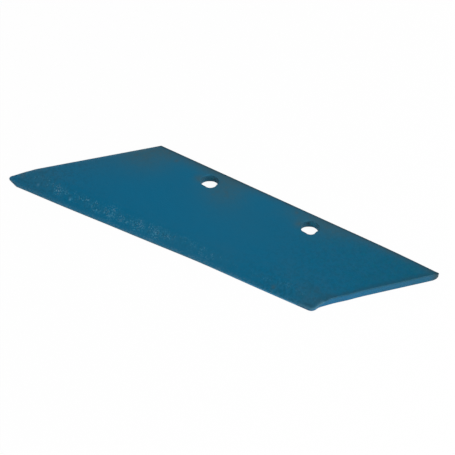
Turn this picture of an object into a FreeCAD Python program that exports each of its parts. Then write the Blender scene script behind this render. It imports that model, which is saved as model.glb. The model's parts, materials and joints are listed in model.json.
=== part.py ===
"""Skimmer point: a forged steel wearing plate that bolts to the leg of a plough skimmer.

Frame: the origin is on the flat underside, midway between the two bolt holes. +X runs along the hole
row towards the wing end, +Y towards the back edge and +Z up through the plate. Sizes are millimetres.
"""
import FreeCAD, Part
import math
import os

# Plate blank, measured square to its straight back edge
plate_thickness = 6.35
back_edge_length = 227.0
point_width = 89.2
wing_width = 70.8
end_lean_deg = 41.5
front_edge_hollow = 1.4

# The back edge was sheared with a slight fall towards its sharp corner
back_edge_fall = 1.25
back_edge_fall_length = 54.0

# Bolt holes, in a row parallel to the back edge
hole_spacing = 82.55
hole_diameter = 13.0
hole_to_back_edge = 12.0
hole_to_back_corner = 51.2

# Forged bevel on the upper side: a rounded shoulder, a straight ramp and a thin lip at the cutting edge
lip_thickness_at_point = 1.4
lip_thickness_at_wing = 2.25
lip_width_at_point = 6.5
lip_width_at_wing = 4.3
ramp_angle_at_point_deg = 32.3
ramp_angle_at_wing_deg = 32.4
shoulder_radius_at_point = 18.0
shoulder_radius_at_wing = 5.0

# Ends spread outwards where the steel was drawn down for the bevel
point_end_spread = 6.9
point_spread_length = 29.0
point_spread_halfway = 2.4
wing_end_spread = 2.7
wing_spread_length = 23.3
wing_spread_halfway = 0.7

# The sharp corner of the point is cut off blunt
nose_cut_depth = 8.5
nose_cut_angle_deg = -16.2

# Corner radii seen from above, and the rounding along the upper rim
back_left_radius = 1.5
back_right_radius = 0.3
wing_corner_radius = 2.6
nose_corner_radius = 1.9
upper_rim_round = 0.5

# Rounding underneath the sharp back corner, seen from the side
sharp_corner_under_round = 4.3

# How far cutting shapes reach outside the plate
tool_reach = 10.0

# How near a corner an edge counts as its own, and how near two points count as one
corner_reach = 1.0
same_place = 1e-4


def place(x, y, z=0.0):
    return FreeCAD.Vector(x, y, z)


# Corners of the blank before its ends spread
end_lean = math.radians(end_lean_deg)
along_end = place(math.sin(end_lean), math.cos(end_lean))
out_of_wing = place(math.cos(end_lean), -math.sin(end_lean))
out_of_point = out_of_wing * -1.0
back_left = place(-hole_spacing / 2 - hole_to_back_corner, hole_to_back_edge)
back_right = back_left + place(back_edge_length, 0)
fall_start = back_right - place(back_edge_fall_length, 0)
sharp_corner = back_right - along_end * (back_edge_fall / along_end.y)
blank_point = back_left - along_end * (point_width / along_end.y)
blank_wing = back_right - along_end * (wing_width / along_end.y)
front_direction = (blank_wing - blank_point).normalize()
into_plate = place(-front_direction.y, front_direction.x)

# Corners after the ends spread, still on the line of the front edge
sharp_point = blank_point - front_direction * (point_end_spread / -front_direction.dot(out_of_point))
wing_corner = blank_wing + front_direction * (wing_end_spread / front_direction.dot(out_of_wing))

# Line along which the nose is cut off
nose_angle = math.radians(nose_cut_angle_deg)
nose_direction = place(math.cos(nose_angle), math.sin(nose_angle))
nose_inwards = place(-nose_direction.y, nose_direction.x)
nose_centre = sharp_point + nose_inwards * nose_cut_depth


def spread_arc(corner, outwards, spread, halfway, length):
    """Arc from the straight end out to the spread corner, a given way out at half its length."""
    start = corner - outwards * spread + along_end * length
    middle = start - along_end * (length / 2) + outwards * halfway
    return start, Part.Arc(start, middle, corner).toShape()


def outline_face():
    """Plan of the plate, with spread ends and a hollow front edge, before any corner is rounded."""
    wing_start, wing_arc = spread_arc(
        wing_corner, out_of_wing, wing_end_spread, wing_spread_halfway, wing_spread_length
    )
    point_start, point_arc = spread_arc(
        sharp_point, out_of_point, point_end_spread, point_spread_halfway, point_spread_length
    )
    front_middle = (sharp_point + wing_corner) * 0.5 + into_plate * front_edge_hollow
    fall_middle = (fall_start + sharp_corner) * 0.5 + place(0, back_edge_fall / 4)
    edges = [
        Part.makeLine(back_left, fall_start),
        Part.Arc(fall_start, fall_middle, sharp_corner).toShape(),
        Part.makeLine(sharp_corner, wing_start),
        wing_arc,
        Part.Arc(wing_corner, front_middle, sharp_point).toShape(),
        point_arc,
        Part.makeLine(point_start, back_left),
    ]
    return Part.Face(Part.Wire(edges))


def nose_cutter():
    """Block that takes away the sharp corner of the point."""
    reach = point_width / 2
    inner_left = nose_centre - nose_direction * reach
    inner_right = nose_centre + nose_direction * reach
    outer_right = inner_right - nose_inwards * reach
    outer_left = inner_left - nose_inwards * reach
    face = Part.Face(Part.makePolygon([inner_left, inner_right, outer_right, outer_left, inner_left]))
    face.translate(place(0, 0, -tool_reach))
    return face.extrude(place(0, 0, plate_thickness + 2 * tool_reach))


def upright_edges(shape):
    """Edges that stand straight up, each with its place in plan."""
    found = []
    for edge in shape.Edges:
        foot, head = [place(v.X, v.Y) for v in (edge.Vertexes[0], edge.Vertexes[-1])]
        if foot.distanceToPoint(head) < same_place:
            found.append((edge, foot))
    return found


def corner_edges(shape, corner):
    """Upright edges at one corner of the plan."""
    return [edge for edge, foot in upright_edges(shape) if foot.distanceToPoint(corner) < corner_reach]


def nose_corner_edges(shape):
    """Upright edges at the two ends of the nose cut."""
    feet = upright_edges(shape)
    return [edge for edge, foot in feet if abs((foot - nose_centre).dot(nose_inwards)) < same_place]


def upper_rim_edges(shape):
    """Edges round the top of the plate."""
    return [edge for edge in shape.Edges if abs(edge.BoundBox.ZMin - plate_thickness) < same_place]


def rounded_blank():
    """Plate at full thickness, with its corners and its upper rim rounded."""
    blank = outline_face().extrude(place(0, 0, plate_thickness))
    rounds = [(back_left, back_left_radius), (sharp_corner, back_right_radius)]
    rounds.append((wing_corner, wing_corner_radius))
    for corner, radius in rounds:
        blank = blank.makeFillet(radius, corner_edges(blank, corner))
    blank = blank.cut(nose_cutter())
    blank = blank.makeFillet(nose_corner_radius, nose_corner_edges(blank))
    return blank.makeFillet(upper_rim_round, upper_rim_edges(blank))


def between_ends(at_point, at_wing, x):
    """Value at x along the hole row, on a straight run from the blank's point to its wing corner."""
    share = (x - blank_point.x) / (blank_wing.x - blank_point.x)
    return at_point + (at_wing - at_point) * share


def bevel_section(x):
    """Section of what the forging takes away, from the shoulder down the ramp and out along the lip."""
    edge_y = between_ends(blank_point.y, blank_wing.y, x)
    toe_y = edge_y + between_ends(lip_width_at_point, lip_width_at_wing, x)
    ramp = math.radians(between_ends(ramp_angle_at_point_deg, ramp_angle_at_wing_deg, x))
    radius = between_ends(shoulder_radius_at_point, shoulder_radius_at_wing, x)
    lip_thickness = between_ends(lip_thickness_at_point, lip_thickness_at_wing, x)
    crest_y = toe_y + (plate_thickness - lip_thickness) / math.tan(ramp)
    shoulder = place(x, crest_y + radius * math.tan(ramp / 2), plate_thickness)
    arc_middle = shoulder + place(0, -radius * math.sin(ramp / 2), -radius * (1 - math.cos(ramp / 2)))
    ramp_top = shoulder + place(0, -radius * math.sin(ramp), -radius * (1 - math.cos(ramp)))
    toe = place(x, toe_y, lip_thickness)
    outside_y = edge_y - tool_reach
    above = plate_thickness + tool_reach
    lip_end, outer_top = place(x, outside_y, toe.z), place(x, outside_y, above)
    corners = [ramp_top, toe, lip_end, outer_top, place(x, shoulder.y, above), shoulder]
    edges = [Part.makeLine(start, end) for start, end in zip(corners, corners[1:])]
    return Part.Wire([Part.Arc(shoulder, arc_middle, ramp_top).toShape()] + edges)


def bevel_cutter():
    """Ruled solid between a section beyond the point and one beyond the wing corner."""
    ends = [sharp_point.x - tool_reach, wing_corner.x + tool_reach]
    return Part.makeLoft([bevel_section(x) for x in ends], True, True)


def under_corner_cutter():
    """Block with a hollow quarter round that rounds the sharp corner from underneath."""
    inwards = (place(-1, 0) - along_end).normalize()
    sideways = place(-inwards.y, inwards.x)
    radius = sharp_corner_under_round
    first_side = sharp_corner - sideways * tool_reach
    foot = first_side + inwards * radius
    head = first_side + place(0, 0, radius)
    arc_middle = foot + (place(0, 0, radius) - inwards * radius) * 0.5
    arc_middle += (place(0, 0, -1) - inwards).normalize() * radius * (1 - math.sqrt(0.5))
    outer_head = head - inwards * tool_reach
    outer_foot = outer_head - place(0, 0, radius + tool_reach)
    under_foot = foot - place(0, 0, tool_reach)
    corners = [head, outer_head, outer_foot, under_foot, foot]
    edges = [Part.makeLine(start, end) for start, end in zip(corners, corners[1:])]
    wire = Part.Wire([Part.Arc(foot, arc_middle, head).toShape()] + edges)
    return Part.Face(wire).extrude(sideways * 2 * tool_reach)


def bolt_holes():
    """Two plain punched holes, side by side along the back edge."""
    holes = []
    for side in (-1, 1):
        foot = place(side * hole_spacing / 2, 0, -tool_reach)
        holes.append(Part.makeCylinder(hole_diameter / 2, plate_thickness + 2 * tool_reach, foot))
    return holes


def skimmer_point():
    """The finished plate as one solid."""
    plate = rounded_blank()
    for cutter in [bevel_cutter(), under_corner_cutter()] + bolt_holes():
        plate = plate.cut(cutter)
    return plate.Solids[0]


os.makedirs("parts", exist_ok=True)
point = skimmer_point()
point.exportStep("parts/skimmer_point.step")
box = point.optimalBoundingBox(False)
print("solid valid:", point.isValid(), "volume mm3:", round(point.Volume), "faces:", len(point.Faces))
for axis, low, high in (("x", box.XMin, box.XMax), ("y", box.YMin, box.YMax), ("z", box.ZMin, box.ZMax)):
    print(axis, "from", round(low, 2), "to", round(high, 2))
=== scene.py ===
"""Skimmer point in worn blue paint: the forged plate, its finish, a pale studio and the camera.

Sizes are millimetres in the part's own frame. Meshes, lamps and the camera are written in metres.
"""
import json
import math

import bpy
import numpy as np
from mathutils import Matrix, Vector

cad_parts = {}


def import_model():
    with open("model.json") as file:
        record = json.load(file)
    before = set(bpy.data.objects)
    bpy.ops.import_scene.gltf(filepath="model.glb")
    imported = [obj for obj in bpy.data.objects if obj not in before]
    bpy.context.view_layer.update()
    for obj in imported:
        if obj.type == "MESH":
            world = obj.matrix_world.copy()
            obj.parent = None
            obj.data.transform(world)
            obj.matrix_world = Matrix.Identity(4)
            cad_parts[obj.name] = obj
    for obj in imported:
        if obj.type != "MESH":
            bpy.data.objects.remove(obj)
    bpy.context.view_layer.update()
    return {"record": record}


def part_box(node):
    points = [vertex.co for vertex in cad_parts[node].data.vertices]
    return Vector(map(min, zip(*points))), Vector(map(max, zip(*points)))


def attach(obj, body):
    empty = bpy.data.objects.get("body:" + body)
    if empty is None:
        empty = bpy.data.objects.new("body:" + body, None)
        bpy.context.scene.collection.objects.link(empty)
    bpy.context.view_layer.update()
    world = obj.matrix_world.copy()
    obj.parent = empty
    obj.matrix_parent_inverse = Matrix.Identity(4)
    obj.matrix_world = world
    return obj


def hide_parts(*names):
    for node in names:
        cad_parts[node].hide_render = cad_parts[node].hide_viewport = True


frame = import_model()

MM = 0.001
NODE = "skimmer_point"

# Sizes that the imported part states
plate_low, plate_high = [np.array(corner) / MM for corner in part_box(NODE)]
mounts = {mount["name"]: mount for mount in frame["record"]["mounts"]}
hole_radius = mounts["bolt_row"]["dims"]["hole_r_mm"]
hole_spacing = mounts["bolt_row"]["dims"]["spacing_x_mm"]
plate_thickness = plate_high[2]
back_edge_y = plate_high[1]

# Plan of the plate before its ends spread, measured square to the back edge
back_edge_length = 227.0
hole_to_back_corner = 51.2
point_width = 89.2
wing_width = 70.8
end_lean = math.radians(41.5)

# Spread ends and the blunt nose
point_end_spread = 6.9
point_spread_length = 29.0
point_spread_halfway = 2.4
wing_end_spread = 2.7
wing_spread_length = 23.3
wing_spread_halfway = 0.7
nose_cut_depth = 8.5
nose_cut_angle = math.radians(-16.2)

# Corner radii in plan: back left, back right, wing corner, nose front, nose left
corner_radii = (1.5, 0.3, 4.5, 1.9, 1.9)

# Hollow that the hammer left in the front edge: how far back it lies at the point, how deep it is halfway,
# and each dip's place, reach and depth
front_edge_back = 0.44
front_edge_hollow = 0.88
front_edge_dips = ((-7.7, 33.5, 0.74), (-115.6, 30.0, -0.39))

# Bulges of the wing end: distance up from the wing corner, reach and how far out
wing_end_bulges = ((0.0, 4.0, 0.8), (6.5, 3.5, -0.3), (24.0, 8.0, 0.45))

# Fall of the back edge towards its sharp corner, and the rounding underneath that corner
back_edge_fall = 1.25
back_edge_fall_length = 54.0
sharp_corner_under_round = 4.3

# Bevel, at the point and at the wing
lip_thickness = (1.4, 2.25)
lip_width = (6.5, 4.3)
ramp_angle = (math.radians(32.3), math.radians(32.4))
shoulder_radius = (18.0, 5.0)
toe_softness = 0.5

# Rounding of the rims, where the plate is thick and along the thin lip, and underneath
rim_radius = 0.4
lip_rim_radius = 0.3
lip_rim_thickness = 2.5
under_rim_radius = 0.12

# The rims tighten to a share of their radius near the sharp corner, between two distances from it
tip_rim_share = 0.2
tip_rim_reach = (0.3, 4.0)

# How far the shears and the punches dragged the top down beside them
shear_drag = 0.12
shear_reach = 1.1
hole_drag = 0.12
hole_drag_reach = 1.6

# How rough the sheared walls are: depth, size of the ripples, their slant down the wall and their seed
wall_roughness = 0.04
wall_ripple = 3.0
wall_ripple_slant = 7
wall_seed = 21

# Punched holes: rim radius to the front and to the back, and where the steel bulges in (+) or out (-) at the
# top and at the foot, each with its direction and reach in degrees, for the left hole and for the right one
hole_rims = (0.3, 0.5)
hole_top_bulges = (
    ((-95.0, 24.0, 0.85), (-2.0, 10.0, 0.5), (85.0, 35.0, 0.5)),
    ((-95.0, 24.0, 0.85), (-12.0, 16.0, 0.8), (85.0, 35.0, 0.5), (208.0, 20.0, 0.7)),
)
hole_foot_bulges = (
    ((180.0, 20.0, -0.3), (122.0, 25.0, 0.33)),
    ((168.0, 18.0, -0.1), (122.0, 25.0, 0.33)),
)

# Scale rolled into the lower ramp: how far its middle lies from the front edge at the point and at the wing,
# and its half width
scale_offset = (11.5, 7.5)
scale_width = 3.2

# How the band of scale wanders, swells and breaks up: how much, length of the waves and seed
scale_wander = (1.5, 24.0, 11)
scale_swell = (0.3, 17.0, 12)
scale_breaks = (0.35, 9.0, 13)
scale_strength = 0.75

# The scale grows from a share of its strength to all of it between two x at the point, and fades by a share of
# it between two others towards the wing
scale_start = (-146.0, -136.0)
scale_before_start = 0.35
scale_fade = (-40.0, 15.0)
scale_faded = 0.8

# Pits in the scale: cell, largest radius and seed of the coarse and the fine ones, share of the fine, depth
coarse_pits = (2.3, 1.3, 5)
fine_pits = (1.25, 0.8, 6)
fine_pit_share = 0.7
pit_depth = 0.30

# Slanting streaks beside the scale: shift of their band, slant, stretch, size, seed and depth
streak_shift = 2.0
streak_slant = 0.4
streak_stretch = 0.3
streak_size = 1.1
streak_seed = 4
streak_depth = 0.10

# Waves and grain of the forged top: depth, size, seed. Stray dents: depth, cell, largest radius, seed
forging_waves = ((0.035, 38.0, 1), (0.012, 13.0, 2), (0.004, 1.4, 3))
stray_dents = ((0.07, 21.0, 1.5, 7), (0.04, 8.0, 0.8, 8))

# Random values for the soft noise and the pits, along each side of their square tables
noise_cells = 512
pit_cells = 256

# Mesh density
columns = 480
rows = 120
corner_points = 41
outline_step = 0.05
spread_points = 400
wing_end_points = 800
front_edge_points = 2000
back_edge_points = 1000
rim_turns = np.linspace(0, math.pi / 2, 4)[1:]
hole_rim_turns = np.linspace(0, math.pi / 2, 6)[1:]
wall_shares = np.linspace(0, 1, 6)[1:]
search_slices = 100

# Mesh round a hole: half the block of cells it takes, rings on top and their growth, and the rings underneath
hole_half_columns = 24
hole_half_rows = 10
hole_rings = 10
hole_ring_growth = 0.8
under_ring_width = 0.7
under_ring_shares = (0.35, 0.7, 1.0)

# Gap between the foot of the walls and the underside's grid
under_sheet_gap = 0.3

# Rows are closer in front of this share of the width: spacing behind and in front, softness of the change
row_change = 0.66
row_spacing = (1.0, 0.42)
row_change_softness = 0.02
row_samples = 4001

# Rim gap that stands for a place far from every rim
far_from_rim = 20.0


def unit(x, y):
    """Direction of length 1: both shares over the length."""
    return np.array([x, y]) / math.hypot(x, y)


along_end = unit(math.sin(end_lean), math.cos(end_lean))
out_of_wing = unit(math.cos(end_lean), -math.sin(end_lean))
back_left = np.array([-hole_spacing / 2 - hole_to_back_corner, back_edge_y])
back_right = back_left + [back_edge_length, 0.0]
blank_point = back_left - along_end * point_width / along_end[1]
blank_wing = back_right - along_end * wing_width / along_end[1]
front_direction = unit(*(blank_wing - blank_point))
into_plate = np.array([-front_direction[1], front_direction[0]])
sharp_corner = back_right - along_end * back_edge_fall / along_end[1]
sharp_point = blank_point - front_direction * point_end_spread / front_direction.dot(out_of_wing)
wing_corner = blank_wing + front_direction * wing_end_spread / front_direction.dot(out_of_wing)
nose_direction = unit(math.cos(nose_cut_angle), math.sin(nose_cut_angle))
nose_inwards = np.array([-nose_direction[1], nose_direction[0]])
nose_centre = sharp_point + nose_inwards * nose_cut_depth


def bow(start, middle, end):
    """Parabola through three points: the straight run, plus 4 * share * (1 - share) of the bulge."""
    share = np.linspace(0, 1, spread_points)[:, None]
    bulge = middle - (start + end) / 2
    return start + share * (end - start) + 4 * share * (1 - share) * bulge


def spread_end(corner, outwards, spread, halfway, length):
    """Curve from the straight end line out to its spread corner."""
    start = corner - outwards * spread + along_end * length
    return bow(start, start - along_end * length / 2 + outwards * halfway, corner)


def above_nose(points):
    """How far points lie inside the nose cut."""
    return (points - nose_centre) @ nose_inwards


def nose_crossing(points):
    """Place where a side crosses the nose cut."""
    height = above_nose(points)
    order = np.argsort(height)
    return np.array([np.interp(0, height[order], points[order, axis]) for axis in (0, 1)])


def back_edge_at(x):
    """Where the back edge lies at x: straight, then falling by the square of the way to its sharp corner."""
    fallen = np.clip((x - sharp_corner[0]) / back_edge_fall_length + 1, 0, 1) ** 2
    return back_edge_y - back_edge_fall * fallen


def plate_sides():
    """The five sides of the plan, clockwise from the back left corner, each as a run of points."""
    wing_spread = spread_end(
        wing_corner, out_of_wing, wing_end_spread, wing_spread_halfway, wing_spread_length
    )
    point_spread = spread_end(
        sharp_point, -out_of_wing, point_end_spread, point_spread_halfway, point_spread_length
    )
    wing = np.vstack([np.linspace(sharp_corner, wing_spread[0], wing_end_points), wing_spread[1:]])
    up_the_end = (wing - wing_corner) @ along_end
    bulge = sum(out * np.exp(-(((up_the_end - place) / reach) ** 2)) for place, reach, out in wing_end_bulges)
    wing += bulge[:, None] * front_direction / front_direction.dot(out_of_wing)
    straight = np.linspace(wing[-1], sharp_point, front_edge_points)
    share = np.linspace(0, 1, front_edge_points)[:, None]
    hollow = front_edge_back * share + 4 * front_edge_hollow * share * (1 - share)
    for place, reach, depth in front_edge_dips:
        hollow += depth * np.exp(-(((straight[:, :1] - place) / reach) ** 2))
    front = straight + hollow * into_plate
    back_x = np.linspace(back_left[0], sharp_corner[0], back_edge_points)
    back = np.stack([back_x, back_edge_at(back_x)], axis=1)
    nose_front, nose_left = nose_crossing(front), nose_crossing(point_spread)
    return [
        back,
        wing,
        np.vstack([front[above_nose(front) > 0], nose_front]),
        np.vstack([nose_front, nose_left]),
        np.vstack([nose_left, point_spread[above_nose(point_spread) > 0][::-1], back_left]),
    ]


def run_length(points):
    """Distance travelled from the first point to each point: the running sum of the steps."""
    return np.concatenate([[0], np.cumsum(np.linalg.norm(np.diff(points, axis=0), axis=1))])


def at_length(points, lengths):
    """Points of a run at given distances along it."""
    travelled = run_length(points)
    return np.stack([np.interp(lengths, travelled, points[:, axis]) for axis in (0, 1)], axis=1)


def corner_arc(side_in, side_out, radius):
    """Arc that rounds a corner, and how much of each side it takes, which is radius / tan(half angle)."""
    corner = side_out[0]
    back_way = unit(*(at_length(side_in[::-1], [radius])[0] - corner))
    on_way = unit(*(at_length(side_out, [radius])[0] - corner))
    half = math.acos(back_way.dot(on_way)) / 2
    trim = radius / math.tan(half)
    centre = corner + unit(*(back_way + on_way)) * radius / math.sin(half)
    start, end = corner + back_way * trim - centre, corner + on_way * trim - centre
    sweep = np.linspace(0, 1, corner_points)[:, None]
    turn = math.pi - 2 * half
    return centre + (np.sin((1 - sweep) * turn) * start + np.sin(sweep * turn) * end) / math.sin(turn), trim


def rounded_outline():
    """Closed plan as four runs that meet halfway round a corner: back, wing, front with nose, point."""
    sides = plate_sides()
    corners = [corner_arc(sides[i - 1], sides[i], radius) for i, radius in enumerate(corner_radii)]
    arcs, trims = zip(*corners)
    trimmed = []
    for i, side in enumerate(sides):
        stop = run_length(side)[-1] - trims[(i + 1) % len(sides)]
        trimmed.append(at_length(side, np.arange(trims[i] + outline_step, stop, outline_step)))
    back, wing, front, nose, point = trimmed
    half = corner_points // 2
    return [
        np.vstack([arcs[0][half:], back, arcs[1][: half + 1]]),
        np.vstack([arcs[1][half:], wing, arcs[2][: half + 1]]),
        np.vstack([arcs[2][half:], front, arcs[3], nose, arcs[4][: half + 1]]),
        np.vstack([arcs[4][half:], point, arcs[0][: half + 1]]),
    ]


def uneven_steps(count, change, near, far):
    """Shares from 0 to 1, from the running sum of 1 / spacing, which goes from near to far by an S-curve."""
    share = np.linspace(0, 1, row_samples)
    density = 1 / (near + (far - near) / (1 + np.exp(-(share - change) / row_change_softness)))
    total = np.concatenate([[0], np.cumsum((density[1:] + density[:-1]) / 2)])
    return np.interp(np.linspace(0, total[-1], count), total, share)


row_shares = uneven_steps(rows + 1, row_change, *row_spacing)
column_shares = np.linspace(0, 1, columns + 1)


def outline_loop():
    """Outline points on the grid's four sides, clockwise from the back left corner, and their normals."""
    shares = [column_shares, row_shares, column_shares, 1 - row_shares[::-1]]
    runs = zip(rounded_outline(), shares)
    loop = np.vstack([at_length(run, share * run_length(run)[-1])[:-1] for run, share in runs])
    tangent = np.roll(loop, -1, axis=0) - np.roll(loop, 1, axis=0)
    tangent /= np.linalg.norm(tangent, axis=1)[:, None]
    return loop, np.stack([-tangent[:, 1], tangent[:, 0]], axis=1)


def patch(loop):
    """Grid inside a loop: the blend of its opposite sides, both ways, less the blend of its four corners."""
    back = loop[: columns + 1]
    wing = loop[columns : columns + rows + 1]
    front = loop[columns + rows : 2 * columns + rows + 1][::-1]
    point = np.vstack([loop[2 * columns + rows :], loop[:1]])[::-1]
    u, v = column_shares[:, None, None], row_shares[None, :, None]
    lengthways = (1 - v) * back[:, None] + v * front[:, None]
    crossways = (1 - u) * point[None] + u * wing[None]
    back_corners = (1 - u) * (1 - v) * back[0] + u * (1 - v) * back[-1]
    front_corners = (1 - u) * v * front[0] + u * v * front[-1]
    return lengthways + crossways - back_corners - front_corners


def smooth_step(value, low, high):
    """0 up to low and 1 from high, with 3 * share squared - 2 * share cubed between them."""
    share = np.clip((value - low) / (high - low), 0, 1)
    return share * share * (3 - 2 * share)


def soft_noise(x, y, cell, seed):
    """Random values at the corners of square cells, blended across each cell by a smooth step: -1 to 1."""
    values = np.random.default_rng(seed).uniform(-1, 1, (noise_cells, noise_cells))
    column, row = np.floor(x / cell).astype(int), np.floor(y / cell).astype(int)
    across, along = smooth_step(x / cell - column, 0, 1), smooth_step(y / cell - row, 0, 1)

    def corner(i, j):
        return values[(column + i) % noise_cells, (row + j) % noise_cells]

    low = corner(0, 0) * (1 - across) + corner(1, 0) * across
    high = corner(0, 1) * (1 - across) + corner(1, 1) * across
    return low * (1 - along) + high * along


def pits(x, y, cell, radius, seed):
    """Bowls at random places, one in each square cell: (1 - distance squared) to the power 1.5, by size."""
    random = np.random.default_rng(seed)
    places = random.uniform(0, 1, (pit_cells, pit_cells, 2))
    sizes = random.uniform(0.3, 1, (pit_cells, pit_cells))
    column, row = np.floor(x / cell).astype(int), np.floor(y / cell).astype(int)
    deepest = np.zeros(x.shape)
    for i in (-1, 0, 1):
        for j in (-1, 0, 1):
            at = ((column + i) % pit_cells, (row + j) % pit_cells)
            away_x = x - (column + i + places[at][..., 0]) * cell
            away_y = y - (row + j + places[at][..., 1]) * cell
            share = (away_x**2 + away_y**2) / (radius * sizes[at]) ** 2
            deepest = np.maximum(deepest, sizes[at] * np.clip(1 - share, 0, 1) ** 1.5)
    return deepest


def between_ends(values, x):
    """Value at x on a straight run from the blank's point to its wing corner."""
    share = (x - blank_point[0]) / (blank_wing[0] - blank_point[0])
    return values[0] + (values[1] - values[0]) * share


def blank_front_y(x):
    """Where the front edge of the blank lies at x."""
    return between_ends((blank_point[1], blank_wing[1]), x)


def bevel_height(x, y):
    """Height of the forged section: level top, round shoulder, straight ramp and level lip, softly joined."""
    lip = between_ends(lip_thickness, x)
    toe_y = blank_front_y(x) + between_ends(lip_width, x)
    angle, radius = between_ends(ramp_angle, x), between_ends(shoulder_radius, x)
    shoulder_y = toe_y + (plate_thickness - lip) / np.tan(angle) + radius * np.tan(angle / 2)
    inside = np.clip(shoulder_y - y, 0, radius * np.sin(angle))
    ramp = plate_thickness - radius + np.sqrt(radius**2 - inside**2)
    ramp -= np.clip(shoulder_y - y - inside, 0, None) * np.tan(angle)
    return (ramp + lip + np.hypot(ramp - lip, toe_softness)) / 2


def wave_along(x, wave):
    """Soft noise along the plate, given how much, the length of the waves and the seed."""
    amount, length, seed = wave
    return amount * soft_noise(x, 0 * x, length, seed)


def scale_band(x, y):
    """Where rolled-in scale roughens the ramp: a bell curve across the band, fading towards the wing."""
    middle = blank_front_y(x) + between_ends(scale_offset, x) + wave_along(x, scale_wander)
    width = scale_width * (1 + wave_along(x, scale_swell))
    patchy = scale_strength + wave_along(x, scale_breaks)
    started = scale_before_start + (1 - scale_before_start) * smooth_step(x, *scale_start)
    ends = started * (1 - scale_faded * smooth_step(x, *scale_fade))
    return patchy * np.exp(-(((y - middle) / width) ** 2)) * ends


def pitting(x, y):
    """How pitted the scale band is, from 0 to 1: coarse and fine pits, fewer outside the band."""
    both = pits(x, y, *coarse_pits) + fine_pit_share * pits(x, y, *fine_pits)
    return np.clip(scale_band(x, y) * both, 0, 1)


def relief(x, y):
    """How far the surface lies below the true form: waves and grain of the forging, scale and stray dents."""
    waves = sum(depth * (1 + soft_noise(x, y, size, seed)) for depth, size, seed in forging_waves)
    streaks = soft_noise(x + streak_slant * y, streak_stretch * y, streak_size, streak_seed)
    streaks = scale_band(x, y + streak_shift) * (0.5 + 0.5 * streaks)
    dents = sum(depth * pits(x, y, cell, radius, seed) for depth, cell, radius, seed in stray_dents)
    return waves + streak_depth * streaks + pit_depth * pitting(x, y) + dents


def hole_distance(x, y):
    """Distance outwards from the nearer hole's edge."""
    return np.hypot(np.abs(x) - hole_spacing / 2, y) - hole_radius


def inside_distance(plan, outline, outward):
    """Distance inwards from the outline, square to its nearest point, in slices to spare memory."""
    found = []
    for part in np.array_split(plan.reshape(-1, 2), search_slices):
        nearest = ((part[:, None] - outline[None]) ** 2).sum(-1).argmin(1)
        found.append(((outline[nearest] - part) * outward[nearest]).sum(1))
    return np.clip(np.concatenate(found), 0, None).reshape(plan.shape[:-1])


def top_height(plan, inside):
    """Height of the upper side: the forged section, less its relief and what the cuts dragged down."""
    x, y = plan[..., 0], plan[..., 1]
    punched = hole_drag * np.exp(-np.clip(hole_distance(x, y), 0, None) / hole_drag_reach)
    sheared = shear_drag * np.exp(-inside / shear_reach)
    return bevel_height(x, y) - relief(x, y) - punched - sheared


def under_height(plan):
    """Height of the lower side: flat, but for a quarter round that rises to the sharp back corner."""
    inwards = unit(*(unit(-1, 0) - along_end))
    radius = sharp_corner_under_round
    from_tip = np.clip((plan - sharp_corner) @ inwards, 0, radius)
    return radius - np.sqrt(radius**2 - (radius - from_tip) ** 2)


class Skin:
    """Points and faces of one closed mesh, gathered as whole arrays, and each point's gap to the rim."""

    def __init__(self):
        self.points, self.faces, self.rim_gaps, self.count = [], [], [], 0

    def add_points(self, plan, height, rim_gap):
        """Adds points of any grid shape and gives their numbers in the same shape."""
        shape = plan.shape[:-1]
        points = np.concatenate([plan, np.broadcast_to(height, shape)[..., None]], axis=-1)
        numbers = self.count + np.arange(math.prod(shape)).reshape(shape)
        self.points.append(points.reshape(-1, 3))
        self.rim_gaps.append(np.broadcast_to(rim_gap, shape).ravel())
        self.count += numbers.size
        return numbers

    def add_strip(self, first, second):
        """Band of faces between two closed loops of equal length."""
        loops = [first, np.roll(first, -1), np.roll(second, -1), second]
        self.faces.append(np.stack(loops, axis=-1))

    def add_ring(self, loop, plan, height, rim_gap=far_from_rim, turned=False):
        """Adds a loop of points and the band of faces from the last loop to it, and gives its numbers."""
        ring = self.add_points(plan, height, rim_gap)
        self.add_strip(*((ring, loop) if turned else (loop, ring)))
        return ring

    def add_halving_strip(self, fine, coarse, turned=False):
        """Triangles between a closed loop and one with half its points, three for each coarse edge."""
        first, middle, last = fine[0::2], fine[1::2], np.roll(fine, -2)[0::2]
        ahead = np.roll(coarse, -1)
        corners = [(first, middle, coarse), (coarse, middle, ahead), (middle, last, ahead)]
        faces = np.vstack([np.stack(three, axis=-1) for three in corners])
        self.faces.append(faces[:, ::-1] if turned else faces)

    def add_grid(self, numbers, blocks, turned=False):
        """Faces of a grid, without those inside the given blocks of cells."""
        faces = np.stack([numbers[:-1, :-1], numbers[:-1, 1:], numbers[1:, 1:], numbers[1:, :-1]], axis=-1)
        kept = np.ones(faces.shape[:2], bool)
        for left, right, top, bottom in blocks:
            kept[left:right, top:bottom] = False
        faces = faces[kept]
        self.faces.append(faces[:, ::-1] if turned else faces)

    def mesh(self, name):
        """The mesh in metres without the points that no face uses, and those points with their rim gaps."""
        points = np.clip(np.vstack(self.points), plate_low, plate_high)
        used = np.unique(np.concatenate([faces.ravel() for faces in self.faces]))
        renumbered = np.full(len(points), -1)
        renumbered[used] = np.arange(len(used))
        faces = [face for group in self.faces for face in renumbered[group].tolist()]
        made = bpy.data.meshes.new(name)
        made.from_pydata((points[used] * MM).tolist(), [], faces)
        made.validate()
        made.shade_smooth()
        return made, points[used], np.concatenate(self.rim_gaps)[used]


def ring_of(grid):
    """Entries round the edge of a grid, clockwise from the back left corner."""
    return np.concatenate([grid[:-1, 0], grid[-1, :-1], grid[:0:-1, -1], grid[0, :0:-1]])


def block_ring(grid, block):
    """Entries round a block of a grid."""
    left, right, top, bottom = block
    return ring_of(grid[left : right + 1, top : bottom + 1])


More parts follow.
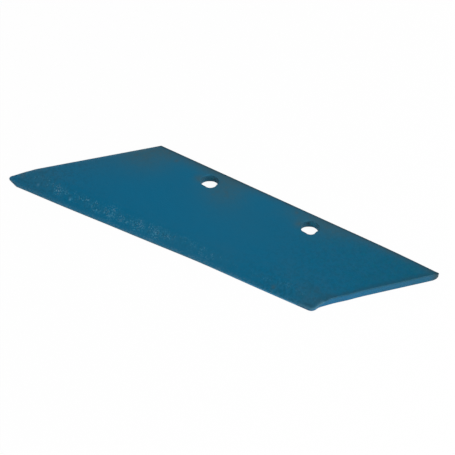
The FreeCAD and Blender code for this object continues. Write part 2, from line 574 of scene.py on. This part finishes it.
def hole_blocks(plan):
    """Block of grid cells round each hole, on even grid lines so that the underside can share it."""
    blocks = []
    for side in (-1, 1):
        away = np.hypot(plan[..., 0] - side * hole_spacing / 2, plan[..., 1])
        column, row = [2 * round(k / 2) for k in np.unravel_index(np.argmin(away), away.shape)]
        left, right = column - hole_half_columns, column + hole_half_columns
        blocks.append((left, right, row - hole_half_rows, row + hole_half_rows))
    return blocks


def add_sides(skin, loop, outline, outward, rim, rim_top):
    """Perimeter from the top sheet down: rolled rim, rough sheared wall and a small round underneath."""
    for turn in rim_turns:
        plan = outline - outward * (rim * (1 - math.sin(turn)))[:, None]
        loop = skin.add_ring(loop, plan, rim_top - rim * (1 - math.cos(turn)), 0.0)
    wall_top = rim_top - rim
    wall_foot = under_height(outline) + under_rim_radius
    for share in wall_shares:
        ripple = soft_noise(outline[:, 0] + wall_ripple_slant * share, outline[:, 1], wall_ripple, wall_seed)
        rough = wall_roughness * (1 + ripple)
        plan = outline - outward * (rough * math.sin(math.pi * share))[:, None]
        fall = (wall_foot - wall_top) * share
        loop = skin.add_ring(loop, plan, wall_top + fall, fall)
    for turn in rim_turns:
        plan = outline - outward * under_rim_radius * (1 - math.cos(turn))
        loop = skin.add_ring(loop, plan, under_height(plan) + under_rim_radius * (1 - math.sin(turn)))
    return loop


def bulged(spokes, bulges):
    """Hole radius in each direction: the drilled size less a bell curve of the angle for every bulge."""
    angle = np.degrees(np.arctan2(spokes[:, 1], spokes[:, 0]))
    turns = [((angle - place + 180) % 360 - 180) / reach for place, reach, _ in bulges]
    return hole_radius - sum(depth * np.exp(-(turn**2)) for turn, (_, _, depth) in zip(turns, bulges))


def add_hole(skin, centre, bulges, block, top, top_plan, under_block, under, under_plan):
    """Punched hole: rings from the grid block in to a rolled rim, the bore, and rings out underneath."""
    block_plan = block_ring(top_plan, block)
    spokes = block_plan - centre
    spokes /= np.linalg.norm(spokes, axis=1)[:, None]
    rim = hole_rims[0] + (hole_rims[1] - hole_rims[0]) * (1 + spokes[:, 1]) / 2
    top_radius, foot_radius = [bulged(spokes, each) for each in bulges]

    def round_hole(radius):
        return centre + spokes * radius[:, None]

    edge_plan = round_hole(top_radius + rim)
    loop = block_ring(top, block)
    for share in np.linspace(0, 1, hole_rings + 1)[1:] ** hole_ring_growth:
        plan = block_plan + (edge_plan - block_plan) * share
        loop = skin.add_ring(loop, plan, top_height(plan, far_from_rim), turned=True)
    edge_height = top_height(edge_plan, far_from_rim)
    for turn in hole_rim_turns:
        plan = round_hole(top_radius + rim * (1 - math.sin(turn)))
        loop = skin.add_ring(loop, plan, edge_height - rim * (1 - math.cos(turn)), turned=True)
    for share in wall_shares:
        plan = round_hole(top_radius * (1 - share) + foot_radius * share)
        height = (edge_height - rim) * (1 - share) + under_rim_radius * share
        loop = skin.add_ring(loop, plan, height, turned=True)
    foot = skin.add_ring(loop, round_hole(foot_radius + under_rim_radius), 0.0, turned=True)
    under_block_plan = block_ring(under_plan, under_block)
    under_edge_plan = round_hole(foot_radius + under_rim_radius + under_ring_width)[::2]
    loop = block_ring(under, under_block)
    for share in under_ring_shares:
        plan = under_block_plan + (under_edge_plan - under_block_plan) * share
        loop = skin.add_ring(loop, plan, 0.0)
    skin.add_halving_strip(foot, loop, turned=True)


def plate_mesh():
    """The whole plate as one closed skin: top sheet, rolled rims, walls, underside and two punched holes."""
    skin = Skin()
    outline, outward = outline_loop()
    thickness = bevel_height(*(outline - outward * rim_radius).T)
    from_tip = np.linalg.norm(outline - sharp_corner, axis=1)
    ease = tip_rim_share + (1 - tip_rim_share) * smooth_step(from_tip, *tip_rim_reach)
    thick = smooth_step(thickness, lip_rim_thickness, plate_thickness)
    rim = ease * (lip_rim_radius + (rim_radius - lip_rim_radius) * thick)
    rim_plan = outline - outward * rim[:, None]
    top_plan = patch(rim_plan)
    inside = inside_distance(top_plan, rim_plan, outward)
    top = skin.add_points(top_plan, top_height(top_plan, inside), inside)
    blocks = hole_blocks(top_plan)
    skin.add_grid(top, blocks)
    foot = add_sides(skin, ring_of(top), outline, outward, rim, top_height(rim_plan, 0.0))
    under_plan = patch(outline - outward * (under_rim_radius + under_sheet_gap * ease)[:, None])[::2, ::2]
    under_blocks = [tuple(k // 2 for k in block) for block in blocks]
    under = skin.add_points(under_plan, under_height(under_plan), far_from_rim)
    skin.add_grid(under, under_blocks, turned=True)
    skin.add_halving_strip(foot, ring_of(under))
    for hole, side in enumerate((-1, 1)):
        centre = np.array([side * hole_spacing / 2, 0.0])
        bulges = (hole_top_bulges[hole], hole_foot_bulges[hole])
        add_hole(skin, centre, bulges, blocks[hole], top, top_plan, under_blocks[hole], under, under_plan)
    return skin.mesh(NODE)


# Dusty, thinly painted patches: middle x and y, reach along x and y, strength
dusty_patches = (
    (-97.0, 0.0, 21.0, 19.0, 0.68),
    (-113.0, -4.0, 15.0, 13.0, 0.35),
    (-135.0, -30.0, 22.0, 13.0, 0.25),
    (-45.0, 12.0, 38.0, 7.0, 0.8),
    (-28.0, -2.0, 16.0, 14.0, 0.66),
    (48.0, 9.0, 24.0, 8.0, 0.75),
    (92.0, 12.0, 28.0, 5.0, 0.45),
    (50.0, -4.0, 12.0, 10.0, 0.15),
    (4.0, -55.0, 22.0, 11.0, 0.12),
    (50.0, -41.0, 13.0, 9.0, 0.08),
    (20.0, 2.0, 12.0, 7.0, 0.12),
    (-83.0, 8.0, 9.0, 7.0, 0.3),
    (-148.0, -60.0, 18.0, 14.0, 0.3),
    (74.0, -56.0, 13.0, 9.0, 0.2),
    (-33.0, -60.0, 26.0, 7.0, 0.17),
    (-8.0, -22.0, 34.0, 22.0, 0.12),
    (-49.2, -1.6, 3.6, 3.6, 0.65),
    (33.2, -1.4, 3.2, 3.6, 0.6),
)

# Small rust spots: middle x and y, reach, strength
rust_spots = (
    (-73.5, 4.5, 1.6, 1.0),
    (46.0, -56.0, 1.5, 1.0),
    (-160.0, -66.0, 2.0, 1.0),
    (27.0, 7.0, 1.2, 1.0),
)

# Chips with painted glints of the pits, in clusters and single ones along the scale: middle x and y, reach,
# strength
chip_glint_clusters = (
    (-128.5, -64.4, 2.8, 1.2),
    (-114.6, -61.9, 2.0, 0.5),
    (-83.5, -61.6, 5.0, 0.7),
    (-60.3, -61.3, 4.0, 0.7),
    (-45.5, -60.6, 5.0, 0.6),
)
single_chip_glints = ((-116.6, -66.1, 0.65, 0.9), (-145.1, -67.3, 0.9, 0.3))

# Grime in the bores and at the foot of the wing end, with the painted shadow line of the bores' fracture step:
# middle x, y and z, reach, strength
grime_and_shadow_spots = (
    (-43.0, 6.3, 3.5, 1.0, 0.3),
    (-41.3, 6.5, 3.3, 1.1, 0.45),
    (-39.2, 6.2, 2.9, 1.2, 0.45),
    (-36.6, 4.5, 1.6, 1.1, 0.4),
    (37.5, 5.3, 3.3, 1.2, 0.95),
    (121.8, -2.8, 0.3, 1.3, 0.6),
    (108.0, -17.7, 0.3, 1.1, 0.6),
)

# Weathered paint: towards the wing, round the point, along the ramp and in a patch low at the wing
wing_weathering, wing_weathering_grows = 0.65, (0.0, 70.0)
point_weathering_middle, point_weathering_reach = -150.0, 32.0
ramp_weathering, ramp_weathering_middle, ramp_weathering_reach = 0.2, 10.0, 12.0
low_weathering = ((62.0, -57.0, 24.0, 9.0, 0.5),)

# Painted shade: the darker right half stands in for light falling off towards the wing
# Darker right half, on the walls and on top, where it grows by a power over a length in x and is less in
# front of the hole row
wall_darkens = (78.0, 134.0)
top_darkens_from, top_darkens_over, top_darkening_power = -90.0, 215.0, 2.5
front_lighter, front_lightens = 0.35, (15.0, 35.0)

# Worn rims with painted shade, and painted highlights on the front and ramp rims: reach down the wall and in
# over the top
back_rim_reach = (0.35, 1.0)
front_rim_reach = (0.5, 1.7)
wing_rim_reach = (0.35, 2.4)
ramp_rim_reach = (0.8, 0.8)

# How strong the wing end's worn, shaded rim is beside the others, and what the front rim's painted highlight
# loses towards the wing
wing_rim_share = 0.5
front_rim_loss, front_rim_fades = 0.5, (-10.0, 50.0)

# Painted shade: a dark line in from the ramp's rim at the wing end
ramp_line, ramp_line_middle, ramp_line_reach = 0.3, 2.3, 1.0

# Distances from the back edge and from the wing end between which their own wear, painted shade and painted
# light end
back_wear_ends = (2.0, 4.0)
wing_wear_ends = (3.0, 5.0)

# Thicknesses, read a little behind the rim, at which a wall turns from the lip's and into the full plate's
behind_rim = 1.5
lip_wall = (2.8, 3.6)
full_wall = (5.5, 6.3)

# Where the front wall's painted light grows lighter along x, and the heights at which the scale and the chips
# with painted glints start
front_wall_lightens = (-20.0, 35.0)
chip_glints_start = (0.3, 1.2)

# Dirt along the back edge, more of it towards the wing, low at the wing and at the sharp corner
back_dirt_reach = 3.4
back_dirt, back_dirt_grows = 0.8, (60.0, 120.0)
low_dirt = ((74.0, -50.0, 15.0, 10.0, 0.3),)
tip_dirt_reach = (4.2, 2.8)

# Bores: painted light and shade. Within some turn of the direction, in degrees, of the side that the lamp
# leaves in shade, they are painted lighter and keep the top's colour further down; one patch of the second
# bore is lighter still
bore_shaded_side = 50
bore_light, bore_light_turns = 0.5, (-82.0, -42.0)
bore_cover, bore_cover_turns = 1.4, (-120.0, -60.0)
bore_patch = ((42.6, 6.3, 3.0, 2.5, 1.0),)
bore_patch_light, bore_patch_bare = 0.3, 0.6
bore_mouth = (-0.5, 0.0)
bore_paint_edge = (-0.4, 0.5)


def bell(distance, reach):
    """Bell curve: 1 in the middle and exp(-1) at its reach."""
    return np.exp(-((distance / reach) ** 2))


def bell_patches(x, y, table):
    """Sum of bell curves in x and in y, each with its own middle, reaches and strength."""
    return sum(
        strength * np.exp(-(((x - place_x) / reach_x) ** 2) - ((y - place_y) / reach_y) ** 2)
        for place_x, place_y, reach_x, reach_y, strength in table
    )


def round_spots(place, table):
    """Sum of bell curves of the distance from each spot's middle, each with its reach and strength."""
    return sum(
        strength * np.exp(-sum((along - at) ** 2 for along, at in zip(place, middle)) / reach**2)
        for *middle, reach, strength in table
    )


def rim_wear(rim_gap, reach):
    """Bell curve across the rim, with one reach down the wall and another in over the top."""
    return bell(rim_gap, np.where(rim_gap < 0, *reach))


def surface_masks(x, y, z, on_wall):
    """Masks of the open paint: dust, rust spots, weathering, scale, chips with painted glints, and painted
    shade on the right half.
    """
    above_foot = smooth_step(z, *chip_glints_start)
    up_the_ramp = y - blank_front_y(x) - ramp_weathering_middle
    weathered = wing_weathering * smooth_step(x, *wing_weathering_grows)
    weathered += bell(x - point_weathering_middle, point_weathering_reach)
    weathered += ramp_weathering * bell(up_the_ramp, ramp_weathering_reach)
    weathered += bell_patches(x, y, low_weathering)
    # Painted shade, growing towards the wing
    falloff_shade = np.clip((x - top_darkens_from) / top_darkens_over, 0, 1) ** top_darkening_power
    falloff_shade *= 1 - front_lighter * smooth_step(-y, *front_lightens)
    return {
        "dust": np.clip(bell_patches(x, y, dusty_patches), 0, 1),
        "spots": np.clip(round_spots((x, y), rust_spots), 0, 1),
        "weathered": np.clip(weathered, 0, 1),
        "scale": np.clip(scale_band(x, y), 0, 1) * above_foot,
        "pitting": pitting(x, y) * above_foot,
        "chip_glints": np.clip(round_spots((x, y), chip_glint_clusters), 0, 1) * above_foot,
        "single_chip_glints": round_spots((x, y), single_chip_glints) * above_foot,
        "falloff_shade": np.where(on_wall, smooth_step(x, *wall_darkens), falloff_shade),
    }


def rim_masks(x, y, rim_gap, on_wall):
    """Masks of the rims and walls along each side: wear and dirt, painted shade and highlights on the rims,
    painted light on the walls.
    """
    back_gap = back_edge_at(x) - y
    wing_gap = (sharp_corner - np.stack([x, y], axis=1)) @ out_of_wing
    by_back = 1 - smooth_step(back_gap, *back_wear_ends)
    by_wing = 1 - smooth_step(wing_gap, *wing_wear_ends)
    thickness = bevel_height(x, y + behind_rim)
    full = smooth_step(thickness, *full_wall)
    thin = 1 - smooth_step(thickness, *lip_wall)
    # Painted shade along the back and wing rims, with some worn paint
    back_rim = rim_wear(rim_gap, back_rim_reach) * by_back
    wing_rim = wing_rim_share * rim_wear(rim_gap, wing_rim_reach) * by_wing * full
    line = ramp_line * bell(rim_gap - ramp_line_middle, ramp_line_reach) * by_wing * (1 - full) * ~on_wall
    front_rim = rim_wear(rim_gap, front_rim_reach) * (1 - by_back) * (1 - by_wing) * ~on_wall
    dirt = bell(np.clip(back_gap, 0, None), back_dirt_reach) * ~on_wall
    dirt *= back_dirt + (1 - back_dirt) * smooth_step(x, *back_dirt_grows)
    from_tip = np.hypot(x - sharp_corner[0], y - sharp_corner[1])
    return {
        "worn_and_shaded_rim": np.maximum(back_rim, wing_rim) + line,
        "dirty": dirt + bell_patches(x, y, low_dirt),
        "wing_wall": on_wall * by_wing,
        "tip_dirt": bell(from_tip, np.where(on_wall, *tip_dirt_reach)),
        "ramp_rim_highlight": rim_wear(rim_gap, ramp_rim_reach) * by_wing * (1 - full),
        "front_rim_highlight": front_rim * (1 - front_rim_loss * smooth_step(x, *front_rim_fades)),
        "front_wall": on_wall * thin * (1 - by_wing),
        "wingwards": smooth_step(x, *front_wall_lightens),
    }


def bore_masks(x, y, z):
    """Masks of the bores: where they lie below the top's colour, their painted light and shade, and their
    grime and painted shadow.
    """
    direction = np.degrees(np.arctan2(y, x - np.sign(x) * hole_spacing / 2))
    turn = -np.abs(direction - bore_shaded_side)
    lighter = bell_patches(x, y, bore_patch)
    covered = bore_cover * smooth_step(turn, *bore_cover_turns) * (1 - bore_patch_bare * lighter)
    below_paint = smooth_step(plate_thickness - z - covered, *bore_paint_edge)
    return {
        "bore": smooth_step(-hole_distance(x, y), *bore_mouth) * below_paint,
        "bore_light": bore_light * smooth_step(turn, *bore_light_turns) + bore_patch_light * lighter,
        "grime_and_shadow": np.clip(round_spots((x, y, z), grime_and_shadow_spots), 0, 1),
    }


def paint_masks(points, rim_gap):
    """Masks that the paint reads at each point. The rim gap is positive on top and negative down a wall."""
    x, y, z = points.T
    on_wall = rim_gap < 0
    return surface_masks(x, y, z, on_wall) | rim_masks(x, y, rim_gap, on_wall) | bore_masks(x, y, z)


class Finish:
    """Node tree of one finish, with a short call for each kind of node in it."""

    def __init__(self, name):
        self.material = bpy.data.materials.new(name)
        self.material.use_nodes = True
        self.nodes, self.links = self.material.node_tree.nodes, self.material.node_tree.links
        self.shader = self.nodes["Principled BSDF"]

    def feed(self, socket, value):
        """Links an output to a socket, or writes a plain value in it."""
        if isinstance(value, bpy.types.NodeSocket):
            self.links.new(value, socket)
        else:
            socket.default_value = value

    def mask(self, name):
        node = self.nodes.new("ShaderNodeAttribute")
        node.attribute_name = name
        return node.outputs["Fac"]

    def scaled(self, size, shift):
        """Place in cells of a size in millimetres, shifted by a number of cells."""
        mapping = self.nodes.new("ShaderNodeMapping")
        mapping.inputs["Location"].default_value = [shift] * 3
        mapping.inputs["Scale"].default_value = [1 / (size * MM)] * 3
        self.feed(mapping.inputs["Vector"], self.nodes.new("ShaderNodeTexCoord").outputs["Object"])
        return mapping.outputs["Vector"]

    def noise(self, size, detail=2.0, shift=0.0):
        """Soft noise with features of a size in millimetres."""
        node = self.nodes.new("ShaderNodeTexNoise")
        node.inputs["Scale"].default_value = 1.0
        node.inputs["Detail"].default_value = detail
        self.feed(node.inputs["Vector"], self.scaled(size, shift))
        return node.outputs["Fac"]

    def dots(self, size, shift=0.0):
        """Distance from the nearest of many scattered middles, in cells of a size in millimetres."""
        node = self.nodes.new("ShaderNodeTexVoronoi")
        node.inputs["Scale"].default_value = 1.0
        self.feed(node.inputs["Vector"], self.scaled(size, shift))
        return node.outputs["Distance"]

    def spread(self, value, low, high, start=0.0, end=1.0):
        """Smooth step of a value from low to high, given as a run from start to end."""
        node = self.nodes.new("ShaderNodeMapRange")
        node.interpolation_type = "SMOOTHSTEP"
        for socket, given in zip(node.inputs, (value, low, high, start, end)):
            self.feed(socket, given)
        return node.outputs["Result"]

    def maths(self, operation, first, second):
        node = self.nodes.new("ShaderNodeMath")
        node.operation = operation
        self.feed(node.inputs[0], first)
        self.feed(node.inputs[1], second)
        return node.outputs["Value"]

    def sum(self, first, second):
        return self.maths("ADD", first, second)

    def product(self, first, second):
        return self.maths("MULTIPLY", first, second)

    def larger(self, first, second):
        return self.maths("MAXIMUM", first, second)

    def blend(self, share, first, second):
        """Colour that goes from the first to the second with a share."""
        node = self.nodes.new("ShaderNodeMix")
        node.data_type = "RGBA"
        self.feed(node.inputs["Factor"], share)
        self.feed(node.inputs[6], first)
        self.feed(node.inputs[7], second)
        return node.outputs[2]

    def bump(self, height, distance, under=None):
        node = self.nodes.new("ShaderNodeBump")
        node.inputs["Distance"].default_value = distance * MM
        self.feed(node.inputs["Height"], height)
        if under is not None:
            self.feed(node.inputs["Normal"], under)
        return node.outputs["Normal"]


# Colours of the finish, as linear values
left_blue = (0.0004, 0.12, 0.23, 1)
# Painted shade: the darker blue towards the wing
right_shade_blue = (0.001, 0.091, 0.164, 1)
thin_blue = (0.003, 0.11, 0.206, 1)
green_blue = (0.0012, 0.105, 0.152, 1)
speckle_blue = (0.003, 0.072, 0.128, 1)
pinkish_blue = (0.023, 0.106, 0.19, 1)
dusty_grey = (0.031, 0.097, 0.133, 1)
rusty_brown = (0.04, 0.086, 0.107, 1)
# Light specks of the scale: chipped paint and painted glints
glint_chip_grey = (0.08, 0.29, 0.42, 1)
glint_chip_pink = (0.15, 0.29, 0.4, 1)
scale_blue = (0.018, 0.148, 0.245, 1)
pit_dark = (0.003, 0.078, 0.132, 1)
# Painted shade of the rims, with some worn paint
worn_shaded_edge = (0.014, 0.052, 0.076, 1)
edge_dirt = (0.025, 0.072, 0.103, 1)
# Painted highlight along the front rim
highlight_pink = (0.09, 0.19, 0.27, 1)
# Painted light on the front wall, from the point towards the wing
lit_wall_grey = (0.03, 0.14, 0.215, 1)
# Painted highlight on the ramp's rim at the wing end
ramp_highlight_blue = (0.06, 0.165, 0.235, 1)
lit_wall = (0.026, 0.21, 0.37, 1)
# Painted light and shade of the wing end's wall: a lit and a shaded copy of the paint
end_lit_blue = (0.001, 0.102, 0.215, 1)
end_shaded_blue = (0.0014, 0.079, 0.145, 1)
end_lavender = (0.012, 0.093, 0.187, 1)
tip_brown = (0.02, 0.042, 0.05, 1)
# Painted light and shade in the bores
bore_shade_blue = (0.005, 0.06, 0.1, 1)
bore_lit = (0.031, 0.41, 0.64, 1)
# Dark grime, and the painted shadow line of the bores' fracture step
bore_dark = (0.006, 0.028, 0.042, 1)


def blue_paint():
    """Sprayed blue paint over forged steel: mottled, dusty, chipped on the scale, worn at rims, with painted
    light and shade.
    """
    finish = Finish("worn_blue_paint_with_painted_light")
    clouds = finish.noise(26.0, 3.0)
    mottle = finish.noise(5.0, 3.0, shift=3.0)
    second_mottle = finish.noise(2.6, 3.0, shift=13.0)
    fine = finish.noise(1.3, 2.0, shift=7.0)
    grain = finish.noise(0.5, 1.0, shift=11.0)
    weathered = finish.mask("weathered")
    scale = finish.mask("scale")

    # Clean paint with painted shade that darkens it towards the wing, thinner in clouds
    falloff_shade = finish.mask("falloff_shade")
    colour = finish.blend(falloff_shade, left_blue, right_shade_blue)
    cloudy = finish.product(finish.spread(clouds, 0.40, 0.72), finish.spread(weathered, 0.0, 1.0, 0.25, 0.7))
    colour = finish.blend(cloudy, colour, thin_blue)

    # Weathered paint, mottled to pink and to green
    greened = finish.product(finish.product(weathered, falloff_shade), finish.spread(second_mottle, 0.40, 0.75))
    colour = finish.blend(finish.product(greened, 0.9), colour, green_blue)
    reddened = finish.product(weathered, finish.spread(finish.sum(mottle, fine), 0.75, 1.35))
    colour = finish.blend(finish.product(reddened, 0.26), colour, pinkish_blue)
    speckled = finish.product(weathered, finish.spread(finish.noise(1.8, 2.0, shift=29.0), 0.46, 0.62))
    colour = finish.blend(finish.product(speckled, 0.45), colour, speckle_blue)

    # Dusty patches with a rusty mottle in them
    broken = finish.spread(finish.sum(second_mottle, clouds), 0.6, 1.3, 0.75, 1.05)
    dusty = finish.product(finish.mask("dust"), broken)
    patch_colour = finish.blend(finish.spread(second_mottle, 0.45, 0.75, 0.0, 0.6), dusty_grey, rusty_brown)
    colour = finish.blend(dusty, colour, patch_colour)
    colour = finish.blend(finish.product(finish.mask("spots"), 0.6), colour, rusty_brown)

    # Chipped and pitted scale band: its light specks are chipped paint and painted glints of the pits
    large_dots, small_dots = finish.dots(1.6), finish.dots(0.9, shift=5.0)
    dots = finish.larger(finish.spread(large_dots, 0.34, 0.14), finish.spread(small_dots, 0.42, 0.18))
    chosen = finish.spread(finish.noise(4.0, 3.0, shift=19.0), 0.47, 0.60)
    chosen = finish.larger(finish.product(finish.product(chosen, scale), 0.85), finish.mask("chip_glints"))
    glints_and_chips = finish.larger(finish.product(dots, chosen), finish.mask("single_chip_glints"))
    pinker = finish.spread(finish.noise(3.0, 1.0, shift=23.0), 0.48, 0.60)
    glint_chip_colour = finish.blend(pinker, glint_chip_grey, glint_chip_pink)
    rough_tint = finish.product(finish.product(scale, finish.spread(fine, 0.38, 0.68)), 0.5)
    colour = finish.blend(rough_tint, colour, scale_blue)
    colour = finish.blend(finish.product(finish.mask("pitting"), 0.6), colour, pit_dark)
    colour = finish.blend(glints_and_chips, colour, glint_chip_colour)

    # Rims worn and dirty, with painted shade and highlights; painted light on the walls, painted light and
    # shade in the bores
    dirt = finish.product(finish.mask("dirty"), finish.spread(mottle, 0.30, 0.65, 0.35, 0.85))
    colour = finish.blend(dirt, colour, edge_dirt)
    # Painted highlight along the front rim
    front_rim_highlight = finish.product(finish.mask("front_rim_highlight"), finish.spread(fine, 0.42, 0.62, 0.05, 0.40))
    colour = finish.blend(front_rim_highlight, colour, highlight_pink)
    # Painted light on the front wall, lighter towards the wing
    front_wall_light = finish.blend(finish.mask("wingwards"), lit_wall_grey, lit_wall)
    colour = finish.blend(finish.mask("front_wall"), colour, front_wall_light)
    # Painted light and shade on the wing end's wall: a lit and a shaded copy of the paint, mottled lavender
    end_wall_light = finish.blend(falloff_shade, end_lit_blue, end_shaded_blue)
    end_wall_light = finish.blend(finish.spread(mottle, 0.45, 0.65, 0.0, 0.6), end_wall_light, end_lavender)
    colour = finish.blend(finish.product(finish.mask("wing_wall"), 0.8), colour, end_wall_light)
    # Painted highlight on the ramp's rim at the wing end
    colour = finish.blend(finish.product(finish.mask("ramp_rim_highlight"), 0.55), colour, ramp_highlight_blue)
    # Painted shade along the back and wing rims and the ramp line, with some worn paint
    worn_and_shaded = finish.product(finish.mask("worn_and_shaded_rim"), finish.spread(mottle, 0.30, 0.60, 0.65, 0.95))
    colour = finish.blend(worn_and_shaded, colour, worn_shaded_edge)
    colour = finish.blend(finish.product(finish.mask("tip_dirt"), 0.95), colour, tip_brown)
    # Painted light and shade in the bores
    bore_light_and_shade = finish.blend(finish.mask("bore_light"), bore_shade_blue, bore_lit)
    colour = finish.blend(finish.product(finish.mask("bore"), 0.9), colour, bore_light_and_shade)
    # Grime, and the painted shadow line of the bores' fracture step
    colour = finish.blend(finish.mask("grime_and_shadow"), colour, bore_dark)
    finish.feed(finish.shader.inputs["Base Color"], colour)

    rough = finish.spread(finish.sum(mottle, finish.product(dusty, 0.5)), 0.3, 1.0, 0.40, 0.62)
    finish.feed(finish.shader.inputs["Roughness"], rough)
    finish.shader.inputs["Specular IOR Level"].default_value = 0.14
    skin = finish.bump(grain, 0.05)
    skin = finish.bump(fine, 0.05, skin)
    finish.feed(finish.shader.inputs["Normal"], finish.bump(glints_and_chips, 0.06, skin))
    return finish.material


def add_object(name, data):
    """New object in the scene."""
    made = bpy.data.objects.new(name, data)
    bpy.context.scene.collection.objects.link(made)
    return made


def plate():
    """The painted plate with its masks, on the part's one body."""
    mesh, points, rim_gap = plate_mesh()
    for name, values in paint_masks(points, rim_gap).items():
        attribute = mesh.attributes.new(name, "FLOAT", "POINT")
        attribute.data.foreach_set("value", values.astype(np.float32))
    piece = add_object("painted_plate", mesh)
    mesh.materials.append(blue_paint())
    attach(piece, "root")
    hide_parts(NODE)


# Camera fitted to the photograph: its place round the plate, and the plate's place in the picture
camera_elevation = math.radians(47.526)
camera_azimuth = math.radians(32.941)
camera_distance = 684.4
camera_right = -21.819
camera_down = 12.433
focal_length = 76.6
sensor_width = 36.0


def camera():
    """Camera in its fitted place, kept upright and looking down at the plate."""
    right = Vector((math.cos(camera_azimuth), math.sin(camera_azimuth), 0))
    level = Vector((-math.sin(camera_azimuth), math.cos(camera_azimuth), 0))
    ahead = level * math.cos(camera_elevation) - Vector((0, 0, math.sin(camera_elevation)))
    down = ahead.cross(right)
    place = (right * camera_right + down * camera_down - ahead * camera_distance) * MM
    data = bpy.data.cameras.new("camera")
    data.lens, data.sensor_width, data.sensor_fit = focal_length, sensor_width, "HORIZONTAL"
    made = add_object("camera", data)
    turn = Matrix((right, -down, -ahead)).transposed()
    made.matrix_world = Matrix.Translation(place) @ turn.to_4x4()
    bpy.context.scene.camera = made


def lamp(name, place, size, watts):
    """Round lamp that faces the origin."""
    data = bpy.data.lights.new(name, "AREA")
    data.shape, data.size, data.energy = "DISK", size, watts
    made = add_object(name, data)
    made.location = place
    made.rotation_mode = "QUATERNION"
    made.rotation_quaternion = (-Vector(place)).to_track_quat("-Z", "Y")


def floor():
    """Wide white floor. Most of what the camera or a gloss sees of it glows, so its shadow stays faint."""
    mesh = bpy.data.meshes.new("floor")
    corners = [(-1, -1), (1, -1), (1, 1), (-1, 1)]
    mesh.from_pydata([(x * floor_half, y * floor_half, -floor_drop) for x, y in corners], [], [(0, 1, 2, 3)])
    finish = Finish("pale_floor")
    finish.shader.inputs["Base Color"].default_value = floor_white
    finish.shader.inputs["Roughness"].default_value = 1.0
    finish.shader.inputs["Specular IOR Level"].default_value = 0.0
    glow = finish.nodes.new("ShaderNodeEmission")
    glow.inputs["Strength"].default_value = 1.0
    rays = finish.nodes.new("ShaderNodeLightPath").outputs
    seen = finish.larger(rays["Is Camera Ray"], rays["Is Glossy Ray"])
    seen = finish.larger(seen, rays["Is Transmission Ray"])
    mix = finish.nodes.new("ShaderNodeMixShader")
    finish.feed(mix.inputs["Fac"], finish.product(seen, floor_glow))
    finish.feed(mix.inputs[1], finish.shader.outputs["BSDF"])
    finish.feed(mix.inputs[2], glow.outputs["Emission"])
    finish.feed(finish.nodes["Material Output"].inputs["Surface"], mix.outputs["Shader"])
    mesh.materials.append(finish.material)
    add_object("floor", mesh)


def world():
    """Pale studio: white up to a little above the horizon and dimmer overhead."""
    made = bpy.data.worlds.new("studio")
    made.use_nodes = True
    bpy.context.scene.world = made
    nodes, links = made.node_tree.nodes, made.node_tree.links
    background = nodes["Background"]
    background.inputs["Color"].default_value = (1, 1, 1, 1)
    direction = nodes.new("ShaderNodeTexCoord")
    split = nodes.new("ShaderNodeSeparateXYZ")
    links.new(direction.outputs["Generated"], split.inputs["Vector"])
    fade = nodes.new("ShaderNodeMapRange")
    for socket, value in zip(list(fade.inputs)[1:5], (*studio_fade, horizon_light, overhead_light)):
        socket.default_value = value
    links.new(split.outputs["Z"], fade.inputs["Value"])
    links.new(fade.outputs["Result"], background.inputs["Strength"])


# Floor: half its side and how far below the plate it lies, in metres, its white, and how much of it glows
floor_half = 6.0
floor_drop = 0.0001
floor_white = (0.92, 0.92, 0.92, 1)
floor_glow = 0.96

# Studio: brightness at the horizon and overhead, and between which upward shares of the view it fades
horizon_light = 1.0
overhead_light = 0.2
studio_fade = (0.15, 0.62)

# Key lamp, in metres and watts
key_place = (2.56, 0.0, 1.92)
key_size = 1.2
key_watts = 106.0

plate()
camera()
floor()
world()
lamp("key_lamp", key_place, key_size, key_watts)
bpy.context.scene.view_settings.view_transform = "Standard"
